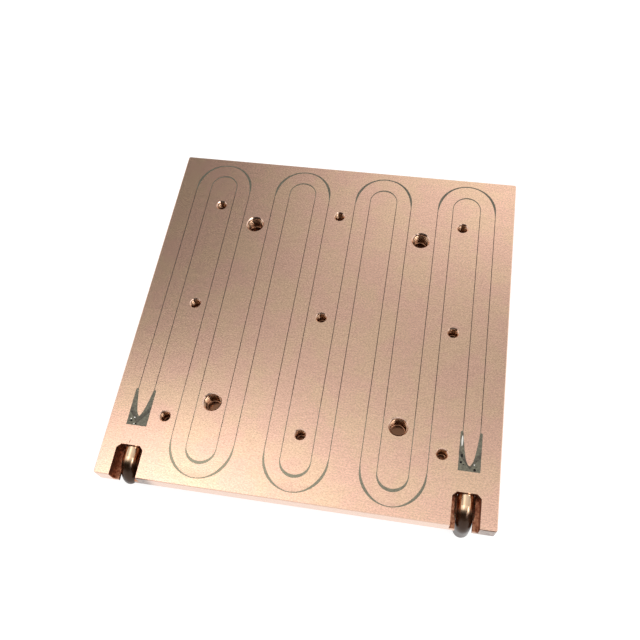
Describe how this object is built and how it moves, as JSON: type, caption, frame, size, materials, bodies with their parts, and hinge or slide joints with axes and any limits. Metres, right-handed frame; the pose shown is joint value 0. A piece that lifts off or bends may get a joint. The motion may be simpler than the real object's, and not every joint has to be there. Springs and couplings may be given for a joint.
{
  "type": "liquid cooling cold plate",
  "caption": "Square copper cold plate with a serpentine coolant tube pressed flush into its face, grey bonding filler, tapped device and fixing holes, and tube ends turned down at one edge.",
  "frame": {"origin": "centre of the device face, on the middle tapped hole's axis", "axes": "+Z out of the device face, +Y along the tube's runs away from the edge where the tube ends turn down, +X to the right along that edge"},
  "size_m": [0.198, 0.2003, 0.0225],
  "materials": {
    "fly_cut_copper": "fly-cut copper face, satin; bright milled edges and bores",
    "drawn_copper_tube": "cut flat with the face where pressed, polished drawn copper where round",
    "grey_filler": "matt grey-green filled epoxy or solder, cut level with the face, a few open voids"
  },
  "bodies": {
    "root": {"base_plate": "fly_cut_copper", "coolant_tube": "drawn_copper_tube", "tube_filler": "grey_filler"}
  },
  "joints": []
}
